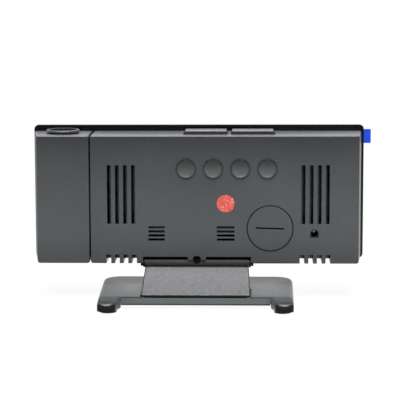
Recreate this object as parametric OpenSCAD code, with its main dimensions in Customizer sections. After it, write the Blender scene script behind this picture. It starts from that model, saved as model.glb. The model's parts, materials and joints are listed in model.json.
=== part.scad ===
// Projection alarm clock on a tilting desk stand.
// Millimetres, +Z up, display towards -Y, controls towards +Y.
// The origin is on the table, under the middle of the bounding box.

/* [Head] */
// Width of the grey housing, projector section included
head_w = 179.8; // [175:0.1:190]
// Height of the grey housing
head_h = 72; // [70:0.5:78]
// Depth of the grey housing, without the front plate
head_d = 27; // [26:0.5:32]
// Height of the housing's underside above the table
head_lift = 19.8; // [19:0.2:24]
// Thickness of the housing's side walls
wall = 1.8; // [1.6:0.1:2.2]
// Thickness of the housing's rear wall
rear_wall = 2; // [1.6:0.1:2.4]
// Radius of the housing's rear edges
edge_r = 0.8; // [0.6:0.1:1.6]
// How much further out the housing's end stands at its front than at its rear
flare = 2.9; // [1:0.1:3.4]
// The same for the projector section's end
flare_end = 4; // [1:0.1:4]

/* [Front plate] */
// How far the front plate stands out past the housing at each side
plate_side = 4.1; // [4.1:0.1:5]
// How far it stands out above the housing
plate_over = 3.5; // [2:0.25:5]
// How far it reaches below the housing
plate_under = 1.1; // [0.5:0.1:2]
// Gap between the main plate and the projector section's plate
plate_gap = 0.2; // [0.15:0.05:0.6]
// Radius of the plate's corners
plate_r = 2.5; // [1.5:0.5:5]
// Thickness of the black front frame
frame_t = 1.5; // [1.2:0.1:2]
// Thickness of the mirrored panel
panel_t = 1.5; // [1:0.1:2]
// Thickness of the protective film and of its pull tab
film_t = 0.15; // [0.1:0.05:0.3]
// How far the pull tab stands out past the plate
tab_out = 4.2; // [2:0.1:6]
// Height of the pull tab
tab_h = 8; // [5:0.5:12]
// Distance from the top of the plate to the pull tab
tab_drop = 2.8; // [2:0.1:10]

/* [Projector section] */
// Width of the turning projector section's housing
projector_w = 29.3; // [28:0.1:34]
// Gap between the projector section and the rest of the head
seam = 0.6; // [0.4:0.1:1]
// Outer diameter of the focus ring
ring_d = 18.8; // [17.6:0.1:20]
// Height of the focus ring above the housing
ring_h = 2.15; // [1:0.05:3]
// Inner diameter of the focus ring
ring_bore = 14.6; // [14:0.1:15]
// Height of the gap between the housing and the ring's rim
ring_undercut = 0.65; // [0.1:0.05:0.9]
// Distance from the seam to the lens axis
lens_x = 15.65; // [15:0.05:18]
// Outer diameter of the hollow axle
axle_d = 10; // [9:0.5:12]
// Bore of the hollow axle
axle_bore = 7; // [5:0.5:8]

/* [Rear controls] */
// Number of rear buttons
button_n = 4; // [2:1:4]
// Diameter of a rear button's cap
button_d = 10; // [8:0.1:10.4]
// Distance between neighbouring rear buttons
button_pitch = 15.1; // [14:0.1:16]
// Place of the first rear button, from the middle of the head
button_x = 6.4; // [5:0.2:8]
// Distance from the top of the housing down to the middle of the rear buttons
button_drop = 18.5; // [17:0.5:22]
// Outer diameter of the fine groove around each button
groove_d = 11.6; // [11.3:0.1:13]
// Depth of that groove
groove_h = 0.35; // [0.2:0.05:0.7]
// Travel of every button
press = 0.8; // [0.5:0.1:1]

/* [Top bars] */
// Length of each top bar
bar_w = 24.4; // [20:0.2:26]
// Depth of each top bar
bar_d = 14.5; // [12:0.5:16]
// Height of a top bar above the housing
bar_h = 1.9; // [1.4:0.1:3]
// Gap between the two bars
bar_gap = 2.4; // [2.2:0.1:4]
// End of the first bar, from the middle of the head
bar_x = 7.9; // [6:0.1:10]
// Distance from the rear face to the bars
bar_setback = 7.4; // [4:0.1:9]

/* [Battery bay] */
// Diameter of the battery cover
cover_d = 25; // [24:0.1:26]
// Gap around the battery cover
cover_gap = 0.6; // [0.15:0.05:0.8]
// Length of the coin slot in the cover
coin_slot = 16; // [12:0.5:18]
// Diameter of the coin cell
cell_d = 20; // [20:0.1:20.4]
// Thickness of the coin cell
cell_t = 3.2; // [3.0:0.1:3.4]
// Place of the battery cover across the head
cover_x = -40.5; // [-44:0.5:-38]
// Place of the battery cover up the head
cover_v = -16; // [-18:0.5:-14]

/* [Openings] */
// Width of a vertical vent slot
vent_w = 2.3; // [1.6:0.1:2.6]
// How much narrower a vertical slot is behind the wall than at its face
vent_draft = 1; // [0:0.1:1.2]
// Length of a vertical vent slot
vent_h = 33.2; // [28:0.2:36]
// Distance between neighbouring vent slots
vent_pitch = 4.5; // [4:0.1:5]
// Width of a bottom slot
slot_w = 2.65; // [2:0.05:3]
// Distance between neighbouring bottom slots
slot_pitch = 4.8; // [4.4:0.1:5]
// Depth of the bottom slots from the rear face
slot_d = 17.5; // [12:0.5:20]
// Height of a horizontal grille slot
grille_h = 1.4; // [0.8:0.1:1.6]
// Distance between neighbouring grille slots
grille_pitch = 2.3; // [2:0.1:2.6]
// Width of the power socket's opening
socket_w = 4.6; // [4.2:0.1:5]

/* [Stand] */
// Width of the base at its rear
base_w = 106.4; // [100:0.2:116]
// Width of the base at its front
base_front_w = 108.2; // [100:0.2:118]
// Depth of the base, legs included
base_d = 74; // [72:0.5:84]
// Height of the base's top
base_h = 7.1; // [6.4:0.1:7.6]
// Radius of the base's front corners
base_r = 10; // [6:0.5:14]
// Gap between the table and the base's cover
base_lift = 2.2; // [2:0.1:3]
// Width of each rear leg
leg_w = 12.2; // [11:0.2:14]
// How far the rear legs reach behind the base's rear wall
leg_out = 12.4; // [7:0.2:14]
// How much narrower a leg is at its end
leg_taper = 1.8; // [0:0.1:3]
// How much lower the end of a leg is than the base
leg_drop = 2.4; // [0:0.2:3]
// Thickness of the base's roof
roof = 2; // [1.8:0.1:2.2]
// Distance from the front of the base to the front of the head
head_setback = 0.4; // [0:0.2:4]
// Gap between the neck and each side of the hinge recess
neck_gap = 1.25; // [0.4:0.05:2]
// Width of the neck at the base
neck_foot_w = 59.6; // [56:0.1:64]
// Thickness of the neck's textured cover
neck_cover_t = 1.6; // [1.2:0.1:2]
// Sideways place of the stand, from the middle of the head
stand_x = 0.4; // [-2:0.2:2]

/* [Hinge] */
// Width of the recess in the head that takes the hinge
recess_w = 60.5; // [50:0.1:63]
// Height of the recess above the housing's underside
recess_h = 3.85; // [3.6:0.05:4.4]
// Radius of the hinge barrel
barrel_r = 2.8; // [2.4:0.1:2.9]
// Distance from the rear face to the hinge axis
hinge_in = 3.2; // [3:0.1:4]
// Distance from the housing's underside down to the hinge axis
hinge_drop = 0; // [0:0.1:0.8]
// Diameter of the hinge pin
pin_d = 2; // [1.6:0.1:2.2]
// Thickness of each hinge ear
ear_t = 1.4; // [1.2:0.1:2.6]
// Radius of each hinge ear
ear_r = 1.9; // [1.8:0.1:2.4]

/* [Hidden] */

$fn = 48;
eps = 0.01;
fit = 0.05;      // radial clearance of a running fit
loose = 0.1;     // clearance between pieces that only lie side by side
free = 0.25;     // clearance around a piece that slides through a wall
screw_r = 1;     // radius of the small screws
screw_head_r = 1.9;
screw_head_h = 1.3;
board_t = 1.6;   // thickness of a circuit board

// Places worked out from the driving dimensions
x_shift = tab_out / 2;
head_mid = head_lift + head_h / 2;
plate_t = frame_t + panel_t;
head_total_d = head_d + plate_t + 2 * film_t;
rear_y = -base_d / 2 + head_setback + head_total_d;
half_w = head_w / 2;
half_h = head_h / 2;
seam_x = half_w - projector_w;
main_x1 = seam_x - seam;
turn_y = -(head_d + plate_t) / 2;
lens_mid_x = seam_x + lens_x;
hinge_y = -hinge_in;
hinge_v = -half_h - hinge_drop;
neck_w = recess_w - 2 * neck_gap;
button_v = half_h - button_drop;
plate_x1 = seam_x - plate_gap;
button_gap = 0.2;   // gap around each rear button
groove_w = 0.3;      // width of the groove around it

// Draws its children in the head's own frame: X across, Y = 0 on the rear face, Z = 0 at mid height
module head() {
    translate([x_shift, rear_y, head_mid]) children();
}

// Draws its children in the stand's own frame: X = 0 in its middle, Z = 0 on the table
module stand() {
    translate([x_shift + stand_x, 0, 0]) children();
}

// A cylinder along Y, from y0 to the larger y1
module rod_y(x, z, r, y0, y1) {
    translate([x, y1, z]) rotate([90, 0, 0]) cylinder(r = r, h = y1 - y0);
}

// A cylinder along X, from x0 to the larger x1
module rod_x(y, z, r, x0, x1) {
    translate([x0, y, z]) rotate([0, 90, 0]) cylinder(r = r, h = x1 - x0);
}

// A cylinder along Z, from z0 to the larger z1
module rod_z(x, y, r, z0, z1) {
    translate([x, y, z0]) cylinder(r = r, h = z1 - z0);
}

// A box between two corners
module box(a, b) {
    translate(a) cube(b - a);
}

// An outline in X and Z, pulled from y0 to the larger y1
module slab_y(y0, y1) {
    translate([0, y1, 0]) rotate([90, 0, 0]) linear_extrude(y1 - y0) children();
}

// A side outline in Y and Z, pulled across X by w on each side of the middle
module prism_x(w) {
    translate([-w / 2, 0, 0]) rotate([90, 0, 90]) linear_extrude(w) children();
}

function arc(c, r, a0, a1, n = 8) = [for (i = [0:n]) c + r * [cos(a0 + (a1 - a0) * i / n),
    sin(a0 + (a1 - a0) * i / n)]];

// A screw along Z with its head on top at z = 0
module screw(len) {
    rod_z(0, 0, screw_head_r, -screw_head_h, 0);
    rod_z(0, 0, screw_r, -len, -screw_head_h + eps);
}

/* ---- Housings ---- */

// A solid through a stack of rings, each a list of points that runs counter-clockwise seen from above
module loft(rings) {
    n = len(rings[0]);
    k = len(rings);
    polyhedron(
        points = [for (r = rings) for (p = r) p],
        faces = concat(
            [[for (i = [0:n - 1]) i]],
            [[for (i = [n - 1:-1:0]) (k - 1) * n + i]],
            [for (j = [0:k - 2]) for (i = [0:n - 1])
                [j * n + i, (j + 1) * n + i, (j + 1) * n + (i + 1) % n, j * n + (i + 1) % n]]));
}

// Corner radius of the housings, a little over that of their rear edges
corner_r = edge_r + 0.4;

// One ring of a housing between x0 and x1, drawn inwards by inset, at height y of the stack.
// f0 and f1 are the flares of its two ends
function housing_ring(x0, x1, inset, y, f0, f1) = let (
    r = corner_r - inset,
    xa = x0 + corner_r + f0 * y / head_d,
    xb = x1 - corner_r - f1 * y / head_d,
    za = half_h - corner_r)
    [for (p = concat(arc([xa, -za], r, 180, 270, 4), arc([xb, -za], r, 270, 360, 4),
        arc([xb, za], r, 0, 90, 4), arc([xa, za], r, 90, 180, 4))) [p[0], p[1], y]];

// A block with rounded rear edges, from x0 to x1
module rounded_block(x0, x1, f0, f1) {
    rotate([-90, 0, 0]) loft(concat([housing_ring(x0, x1, 0, -head_d, f0, f1)],
        [for (t = [0:22.5:90])
            housing_ring(x0, x1, edge_r * (1 - cos(t)), edge_r * (sin(t) - 1), f0, f1)]));
}

// The space inside a housing, a wall's thickness inside its sides and open at the front
module hollow(x0, x1, f0, f1) {
    y1 = -head_d - 1;
    translate([0, 0, -half_h + wall]) linear_extrude(head_h - 2 * wall) polygon([
        [x0 + wall, -rear_wall], [x0 + wall + f0 * y1 / head_d, y1],
        [x1 - wall - f1 * y1 / head_d, y1], [x1 - wall, -rear_wall]]);
}

boss_r = 2.6;
pad_t = 2.4;         // how far the front frame's screw pads reach into the housing
screw_len = 9;
main_bosses = [[-half_w + 5.2, half_h - 5.2], [-half_w + 5.2, -half_h + 5.2], [main_x1 - 5.2, half_h - 5.2],
    [main_x1 - 5.2, -half_h + 5.2], [main_x1 - 40, half_h - 4.6], [main_x1 - 40, -half_h + 4.6]];
board_posts = [[-82, 20], [-82, -20], [28, 26], [31.5, -20]];

// X of the middle of a rear button
function button_place(i) = button_x - i * button_pitch;

// X of the middle of a top bar
function bar_mid(i) = bar_x - bar_w / 2 - i * (bar_w + bar_gap);

bar_y = -bar_setback - bar_d / 2;

vent_left = 49.4;
vent_right = -58.9;
vent_v = 2.9;
slot_left = 49.85;
slot_right = -58.4;
slot_rise = 5;
grille_left = [18.4, 27.5];
grille_right = [-20.7, -10.8];
grille_v = -15.5;
socket_x = -65.2;
socket_v = -18.9;
sticker_x = -15.7;
sticker_v = -2;

// Each slot's side that faces the middle of the head slants, so that the slot narrows inwards
module vents() {
    h = vent_w / 2;
    for (i = [0:3]) {
        for (v = [[vent_left, 1], [vent_right, -1]]) {
            translate([v[0] - i * vent_pitch, 0, vent_v - vent_h / 2]) linear_extrude(vent_h)
                polygon([[-v[1] * h, 1], [-v[1] * h, 0], [v[1] * (vent_draft - h), -rear_wall],
                    [v[1] * (vent_draft - h), -rear_wall - 1], [v[1] * h, -rear_wall - 1], [v[1] * h, 1]]);
        }
    }
}

module bottom_slots() {
    for (i = [0:3]) {
        for (x = [slot_left, slot_right]) {
            middle = x - i * slot_pitch;
            box([middle - slot_w / 2, -rear_wall - eps, -half_h - 1],
                [middle + slot_w / 2, 1, -half_h + slot_rise]);
            box([middle - slot_w / 2, -slot_d, -half_h - 1], [middle + slot_w / 2, 1, -half_h + wall + eps]);
        }
    }
}

module grilles() {
    for (i = [0:3]) {
        for (g = [grille_left, grille_right]) {
            box([g[0], -rear_wall - 1, grille_v - i * grille_pitch - grille_h / 2],
                [g[1], 1, grille_v - i * grille_pitch + grille_h / 2]);
        }
    }
}

// The arched opening in front of the power socket
module socket_hole() {
    rod_y(socket_x, socket_v, socket_w / 2, -rear_wall - 1, 1);
    box([socket_x - socket_w / 2, -rear_wall - 1, socket_v - socket_w / 2],
        [socket_x + socket_w / 2, 1, socket_v]);
}

// Battery bay: a cup behind the rear wall. Under the cover's rim lies a ring that its two lugs lock behind
bay_r = 14.4;
rim_t = 1.2;
cover_t = 2.3;
lug_out = 1.2;
lug_t = 0.8;
lug_a = 24;          // angle that each lug spans
cover_turn = 50;     // angle from locked to open
bay_bore = cell_d / 2 + 0.3;
skirt_r = bay_bore + 0.35;
skirt_y = -cover_t - 1.3;
cell_y = skirt_y - 0.8;
bay_floor_y = cell_y - cell_t - 0.6;
bay_floor_t = 1.2;

module sector(r, a, h) {
    intersection() {
        cylinder(r = r, h = h);
        linear_extrude(h)
            polygon([[0, 0], 2 * r * [cos(a / 2), -sin(a / 2)], 2 * r * [cos(a / 2), sin(a / 2)]]);
    }
}

module battery_cup() {
    rod_y(cover_x, cover_v, bay_r, bay_floor_y - bay_floor_t, -rear_wall + eps);
}

module battery_cuts() {
    rod_y(cover_x, cover_v, bay_bore, bay_floor_y, 1);
    rod_y(cover_x, cover_v, cover_d / 2 + cover_gap, -rim_t - fit, 1);
    rod_y(cover_x, cover_v, skirt_r + 0.15, skirt_y - free, 1);
    rod_y(cover_x, cover_v, skirt_r + 0.15 + lug_out, skirt_y - free, skirt_y + lug_t + loose);
    for (a = [0, 180]) {
        translate([cover_x, 0, cover_v]) rotate([90, cover_turn + a, 0])
            sector(skirt_r + 0.25 + lug_out, lug_a + 4, free - skirt_y);
    }
}

// Hinge recess: a well in the underside with an ear at each end
module recess_block() {
    box([stand_x - recess_w / 2 - ear_t, -hinge_in - 7.3, -half_h],
        [stand_x + recess_w / 2 + ear_t, -edge_r, -half_h + recess_h + 1.5]);
    for (s = [-1, 1]) {
        x = stand_x + s * (recess_w + ear_t) / 2;
        rod_x(hinge_y, hinge_v, ear_r, x - ear_t / 2, x + ear_t / 2);
    }
}

lip_w = 10.1;        // width of the tab that hangs into the recess
lip_t = 0.8;
lip_h = 1.95;
lip_hole_r = 2.35;
lip_hole_v = -half_h + 2.15;

module recess_cut() {
    difference() {
        box([stand_x - recess_w / 2, -hinge_in - 5.8, -half_h - 4],
            [stand_x + recess_w / 2, 1, -half_h + recess_h]);
        box([stand_x - lip_w / 2, -lip_t, -half_h + recess_h - lip_h], [stand_x + lip_w / 2, 2, half_h]);
    }
    rod_y(stand_x, lip_hole_v, lip_hole_r, -rear_wall, 1);
}

module rear_housing() {
    color("#4f5052") head() difference() {
        union() {
            difference() {
                rounded_block(-half_w, main_x1, flare, 0);
                hollow(-half_w, main_x1, flare, 0);
            }
            battery_cup();
            recess_block();
            for (b = main_bosses) {
                rod_y(b[0], b[1], boss_r, -head_d + pad_t, -rear_wall + eps);
            }
            for (b = board_posts) {
                rod_y(b[0], b[1], boss_r, board_y + loose, -rear_wall + eps);
            }
        }
        for (b = main_bosses) {
            rod_y(b[0], b[1], screw_r + fit, -head_d - 1, -head_d + screw_len + 1);
        }
        for (b = board_posts) {
            rod_y(b[0], b[1], screw_r + fit, board_y - 1, board_y + 6);
        }
        for (i = [0:button_n - 1]) {
            rod_y(button_place(i), button_v, button_d / 2 + button_gap, -rear_wall - 1, 1);
            difference() {
                rod_y(button_place(i), button_v, groove_d / 2, -groove_h, 1);
                rod_y(button_place(i), button_v, groove_d / 2 - groove_w, -groove_h - 1, 2);
            }
        }
        for (i = [0:1]) {
            box([bar_mid(i) - bar_w / 2 - free, bar_y - bar_d / 2 - free, half_h - wall - 1],
                [bar_mid(i) + bar_w / 2 + free, bar_y + bar_d / 2 + free, half_h + 1]);
        }
        battery_cuts();
        recess_cut();
        rod_x(hinge_y, hinge_v, pin_d / 2 + eps, stand_x - recess_w, stand_x + recess_w);
        vents();
        bottom_slots();
        grilles();
        socket_hole();
        rod_x(turn_y, 0, axle_d / 2 + fit, main_x1 - wall - 1, main_x1 + 1);
    }
}

// Outline of the front plate between x0 and x1; a corner with r = 0 stays square
module plate_outline(x0, x1, r0, r1) {
    z0 = -half_h - plate_under;
    z1 = half_h + plate_over;
    polygon(concat(
        r0 > 0 ? arc([x0 + r0, z0 + r0], r0, 270, 180) : [[x0, z0]],
        r0 > 0 ? arc([x0 + r0, z1 - r0], r0, 180, 90) : [[x0, z1]],
        r1 > 0 ? arc([x1 - r1, z1 - r1], r1, 90, 0) : [[x1, z1]],
        r1 > 0 ? arc([x1 - r1, z0 + r1], r1, 0, -90) : [[x1, z0]]));
}

window_x = [-78, 44];
window_v = [-23, 25];

module front_frame() {
    color("#161618") head() difference() {
        union() {
            slab_y(-head_d - frame_t, -head_d) plate_outline(-half_w - plate_side, plate_x1, plate_r, 0);
            for (b = main_bosses) {
                rod_y(b[0], b[1], boss_r, -head_d - eps, -head_d + pad_t - loose);
            }
        }
        box([window_x[0], -head_d - 3, window_v[0]], [window_x[1], 1 - head_d, window_v[1]]);
        for (b = main_bosses) {
            rod_y(b[0], b[1], screw_r + 0.15, -head_d - 3, -head_d + 3);
            rod_y(b[0], b[1], screw_head_r + 0.1, -head_d - 3, -head_d + 0.3);
        }
    }
}

module mirror_panel() {
    color("#0b0b0d") head() slab_y(-head_d - plate_t, -head_d - frame_t)
        plate_outline(-half_w - plate_side, plate_x1, plate_r, 0);
}

film_inset = 0.8;

module display_film() {
    x0 = -half_w - plate_side + film_inset;
    color("#c9d6e0") head() slab_y(-head_d - plate_t - film_t, -head_d - plate_t) difference() {
        plate_outline(-half_w - plate_side, plate_x1, plate_r, 0);
        polygon([[x0 - 9, -99], [x0, -99], [x0, 99], [x0 - 9, 99]]);
    }
}

module film_tab() {
    z1 = half_h + plate_over - tab_drop;
    x0 = -half_w - plate_side - tab_out;
    color("#2a63d8") head()
        box([x0, -head_d - plate_t - 2 * film_t, z1 - tab_h],
            [x0 + tab_out + 8, -head_d - plate_t - film_t, z1]);
}

module frame_screws() {
    color("#8a8a8c") head() for (b = main_bosses) {
        translate([b[0], -head_d - 1.1, b[1]]) rotate([90, 0, 0]) screw(screw_len);
    }
}

/* ---- Display and boards ---- */

board_y = -17.2;

module main_board() {
    color("#1f5a34") head() difference() {
        box([-86, board_y - board_t, -28], [48, board_y, 29.5]);
        for (b = board_posts) {
            rod_y(b[0], b[1], screw_r + 0.15, board_y - 3, board_y + 1);
        }
        for (b = main_bosses) {
            rod_y(b[0], b[1], boss_r + 0.6, board_y - 3, board_y + 1);
        }
    }
}

module board_screws() {
    color("#b0b0b2") head() for (b = board_posts) {
        translate([b[0], board_y - board_t - screw_head_h, b[1]]) rotate([90, 0, 0]) screw(7);
    }
}

// One seven-segment digit as a set of slots, h tall, with its lower left corner at the origin
module digit_slots(h, w, t) {
    for (z = [0, h / 2, h]) {
        box([t / 2, -20, z - t / 2], [w - t / 2, 20, z + t / 2]);
    }
    for (x = [0, w], z = [t / 2 + 0.4, h / 2 + t / 2 + 0.4]) {
        box([x - t / 2, -20, z + 0.4], [x + t / 2, 20, z + h / 2 - t - 1.2]);
    }
}

digit_h = 32;
digit_w = 16;
digit_x = [-66, -42, -8, 16];

module digit_block() {
    color("#e8e8e4") head() difference() {
        box([window_x[0] + 2, -head_d + 0.2, window_v[0] + 2],
            [window_x[1] - 2, board_y - board_t - 0.05, window_v[1] - 2]);
        for (x = digit_x) {
            translate([x, 0, 1 - digit_h / 2]) digit_slots(digit_h, digit_w, 3.4);
        }
        for (z = [-5, 7]) {
            rod_y(-17, z, 1.8, -head_d - 1, board_y + 1);
        }
        for (b = board_posts) {
            rod_y(b[0], b[1], screw_head_r + 0.6, -head_d - 1, board_y + 1);
        }
    }
}

module digit_diffuser() {
    color("#f4f4f0") head() box([window_x[0] + 2, -head_d - 1.2, window_v[0] + 2],
        [window_x[1] - 2, -head_d + 0.15, window_v[1] - 2]);
}

module board_chips() {
    color("#151517") head() {
        box([-10, board_y, -20], [4, board_y + 1.6, -6]);
        box([10, board_y, -14], [18, board_y + 1.4, -9]);
        box([-80, board_y, 2], [-72, board_y + 1.8, 12]);
        box([44, board_y, -3], [47.5, board_y + 3.4, 3]);
        rod_y(40, -20, 4, board_y, board_y + 9);
        rod_y(-52, 2, 3.2, board_y, board_y + 7);
    }
}

button_board_y = -11;

module button_board() {
    x0 = button_place(button_n - 1) - 7;
    color("#1f5a34") head() {
        box([x0, button_board_y - board_t, button_v - 7], [button_x + 7, button_board_y, button_v + 7]);
        for (x = [x0 + 3, button_x + 4]) {
            rod_y(x, button_v - 5, 1.2, board_y, button_board_y - board_t + eps);
        }
    }
}

switch_h = 1.6;
plunger_h = 0.8;
stem_gap = 0.05;

module tact_switch() {
    box([-3, -3, 0], [3, 3, switch_h]);
    rod_z(0, 0, 1.6, switch_h - eps, switch_h + plunger_h);
}

module rear_switches() {
    color("#8e8f93") head() for (i = [0:button_n - 1]) {
        translate([button_place(i), button_board_y, button_v]) rotate([-90, 0, 0]) tact_switch();
    }
}

bar_board_v = half_h - wall - 7;
bar_key_y = board_y + 4.4;   // where a bar's stem meets its switch

module bar_board() {
    color("#1f5a34") head() {
        box([bar_mid(1) - 8, board_y, bar_board_v - board_t], [bar_mid(0) + 8, bar_key_y + 5, bar_board_v]);
    }
}

module bar_switches() {
    color("#8e8f93") head() for (i = [0:1]) {
        translate([bar_mid(i), bar_key_y, bar_board_v]) tact_switch();
    }
}

socket_r = 1.8;
nose_in = 0.3;       // how far the socket's nose stays behind the rear face
socket_len = 5.5;    // length of the wide part of the socket's bore, in front of its pin

module power_socket() {
    color("#101012") head() difference() {
        union() {
            box([socket_x - 4.5, board_y, socket_v - 4], [socket_x + 4.5, -rear_wall - 0.1, socket_v + 4]);
            rod_y(socket_x, socket_v, socket_w / 2 - fit, -rear_wall - 0.1 - eps, -nose_in);
            box([socket_x - socket_w / 2 + fit, -rear_wall - 0.1 - eps, socket_v - socket_w / 2 + fit],
                [socket_x + socket_w / 2 - fit, -nose_in, socket_v]);
        }
        rod_y(socket_x, socket_v, socket_r, -rear_wall - loose - socket_len, 0);
        rod_y(socket_x, socket_v, socket_r - 0.3, -rear_wall - 9, 0);
    }
}

module socket_pin() {
    color("#c8c8c4") head()
        rod_y(socket_x, socket_v, 0.65, -rear_wall - 9, -rear_wall - loose - socket_len - 0.1);
}

module buzzer() {
    x = vent_left - 1.5 * vent_pitch;
    color("#18181a") head() difference() {
        rod_y(x, 12, 8, board_y, -rear_wall - 3);
        rod_y(x, 12, 1.2, -rear_wall - 5, 0);
    }
}

/* ---- Battery bay ---- */

module cell_contact() {
    color("#c9c9c4") head() {
        rod_y(cover_x, cover_v, 5, bay_floor_y + 0.05, bay_floor_y + 0.45);
    }
}

module side_contact() {
    color("#c9c9c4") head() {
        intersection() {
            difference() {
                rod_y(cover_x, cover_v, bay_bore - 0.02, cell_y - cell_t, cell_y);
                rod_y(cover_x, cover_v, cell_d / 2 + 0.04, -20, 0);
            }
            box([cover_x - 4, -20, cover_v], [cover_x + 4, 0, cover_v + 20]);
        }
    }
}

module coin_cell() {
    color("#c4c6c8") head() {
        rod_y(cover_x, cover_v, cell_d / 2, cell_y - cell_t + 0.4, cell_y);
        rod_y(cover_x, cover_v, cell_d / 2 - 1, cell_y - cell_t, cell_y - cell_t + 0.4 + eps);
    }
}

coin_tilt = -2;

module battery_cover() {
    color("#4f5052") head() difference() {
        union() {
            rod_y(cover_x, cover_v, cover_d / 2, -rim_t, 0);
            rod_y(cover_x, cover_v, skirt_r, skirt_y, -rim_t + eps);
            for (a = [0, 180]) {
                translate([cover_x, skirt_y + lug_t, cover_v]) rotate([90, a, 0])
                    sector(skirt_r + lug_out, lug_a, lug_t);
            }
        }
        rod_y(cover_x, cover_v, skirt_r - 1.3, skirt_y - 1, -cover_t);
        translate([cover_x, 1, cover_v]) rotate([90, coin_tilt, 0])
            translate([-coin_slot / 2, -0.45, 0]) cube([coin_slot, 0.9, 2.2]);
    }
}

module marker_sticker() {
    color("#c94b4e") head() rod_y(sticker_x, sticker_v, 4.95, 0, 0.12);
}

/* ---- Buttons ---- */

flange_t = 1.2;

// A rear button with a dished cap, a flange behind the wall and a stem to its switch
module rear_button(i) {
    cap_out = 0.9;
    groove_depth = 0.9;
    cap_r = button_d / 2;
    dish_r = (pow(cap_r - 0.5, 2) + pow(groove_depth, 2)) / (2 * groove_depth);
    flange_y = -rear_wall - loose;
    stem_end = button_board_y + switch_h + plunger_h + press + stem_gap;
    color("#5b5c5f") head() difference() {
        union() {
            rod_y(button_place(i), button_v, cap_r, flange_y - flange_t, cap_out);
            rod_y(button_place(i), button_v, cap_r + 1, flange_y - flange_t, flange_y);
            rod_y(button_place(i), button_v, 1.5, stem_end, flange_y - flange_t + eps);
        }
        translate([button_place(i), cap_out - groove_depth + dish_r, button_v]) sphere(r = dish_r, $fn = 96);
    }
}

module set_button() rear_button(0);
module up_button() rear_button(1);
module down_button() rear_button(2);
module mode_button() rear_button(3);

// A top bar with one sloping end, a flange under the wall and a stem to its switch
module top_bar(i, outer) {
    slope = 0.9;
    x0 = bar_mid(i) - bar_w / 2;
    x1 = bar_mid(i) + bar_w / 2;
    z_wall = half_h - wall - loose;
    z_top = half_h + bar_h;
    stem_end = bar_board_v + switch_h + plunger_h + press + stem_gap;
    color("#7d7e81") head() {
        slab_y(bar_y - bar_d / 2, bar_y + bar_d / 2) polygon([[x0, z_wall - flange_t],
            [x1, z_wall - flange_t], [x1, half_h], [x1 - (outer > 0 ? slope : 0.3), z_top],
            [x0 + (outer < 0 ? slope : 0.3), z_top], [x0, half_h]]);
        box([x0 - 0.8, bar_y - bar_d / 2 - 0.8, z_wall - flange_t],
            [x1 + 0.8, bar_y + bar_d / 2 + 0.8, z_wall]);
        rod_z(bar_mid(i), bar_key_y, 1.5, stem_end, z_wall - flange_t + eps);
    }
}

module snooze_bar() top_bar(0, 1);
module light_bar() top_bar(1, -1);

/* ---- Projector section ---- */

projector_bosses = [[seam_x + 4.6, half_h - 4.6], [seam_x + 4.6, -half_h + 4.6],
    [half_w - 4.6, -half_h + 4.6]];
tube_r = 8.6;
hole_r = ring_bore / 2 + 0.9 + fit;
lip_r = hole_r + 0.45;

module projector_housing() {
    color("#4f5052") head() difference() {
        union() {
            difference() {
                rounded_block(seam_x, half_w, 0, flare_end);
                hollow(seam_x, half_w, 0, flare_end);
            }
            for (b = projector_bosses) {
                rod_y(b[0], b[1], boss_r, -head_d + pad_t, -rear_wall + eps);
            }
            for (b = lamp_posts) {
                rod_z(lens_mid_x + b[0], turn_y + b[1], 2, -half_h + wall - eps, lamp_v - board_t);
            }
        }
        for (b = lamp_posts) {
            rod_z(lens_mid_x + b[0], turn_y + b[1], screw_r + fit, lamp_v - 8, lamp_v);
        }
        for (b = projector_bosses) {
            rod_y(b[0], b[1], screw_r + fit, -head_d - 1, -head_d + screw_len + 1);
        }
        rod_z(lens_mid_x, turn_y, hole_r, half_h - wall - 1, half_h + 1);
        rod_x(turn_y, 0, axle_d / 2 + eps, seam_x - 1, seam_x + wall + 1);
    }
}

module projector_frame() {
    color("#161618") head() difference() {
        union() {
            slab_y(-head_d - frame_t, -head_d) plate_outline(seam_x, half_w + plate_side, 0, plate_r);
            for (b = projector_bosses) {
                rod_y(b[0], b[1], boss_r, -head_d - eps, -head_d + pad_t - loose);
            }
        }
        for (b = projector_bosses) {
            rod_y(b[0], b[1], screw_r + 0.15, -head_d - 3, -head_d + 3);
            rod_y(b[0], b[1], screw_head_r + 0.1, -head_d - 3, -head_d + 0.3);
        }
    }
}

module projector_panel() {
    color("#0b0b0d") head() slab_y(-head_d - plate_t, -head_d - frame_t)
        plate_outline(seam_x, half_w + plate_side, 0, plate_r);
}

module projector_screws() {
    color("#8a8a8c") head() for (b = projector_bosses) {
        translate([b[0], -head_d - 1.1, b[1]]) rotate([90, 0, 0]) screw(screw_len);
    }
}

flange_x = seam_x + wall;
axle_end = main_x1 - wall - 4.4;
groove_x = axle_end + 1;
clip_t = 0.8;

module hollow_axle() {
    color("#202022") head() difference() {
        union() {
            rod_x(turn_y, 0, axle_d / 2, axle_end, flange_x + 1.5);
            rod_x(turn_y, 0, axle_d / 2 + 3, flange_x, flange_x + 1.5);
        }
        rod_x(turn_y, 0, axle_bore / 2, axle_end - 1, flange_x + 3);
        difference() {
            rod_x(turn_y, 0, axle_d, groove_x, groove_x + clip_t + 0.1);
            rod_x(turn_y, 0, axle_d / 2 - 0.6, groove_x - 1, groove_x + 3);
        }
    }
}

module axle_clip() {
    color("#9a9a9c") head() difference() {
        rod_x(turn_y, 0, axle_d / 2 + 1.6, groove_x + 0.05, groove_x + 0.05 + clip_t);
        rod_x(turn_y, 0, axle_d / 2 - 0.55, groove_x - 1, groove_x + 3);
        box([groove_x - 1, turn_y - 2.5, 0], [groove_x + 3, turn_y + 2.5, axle_d]);
    }
}

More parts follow.
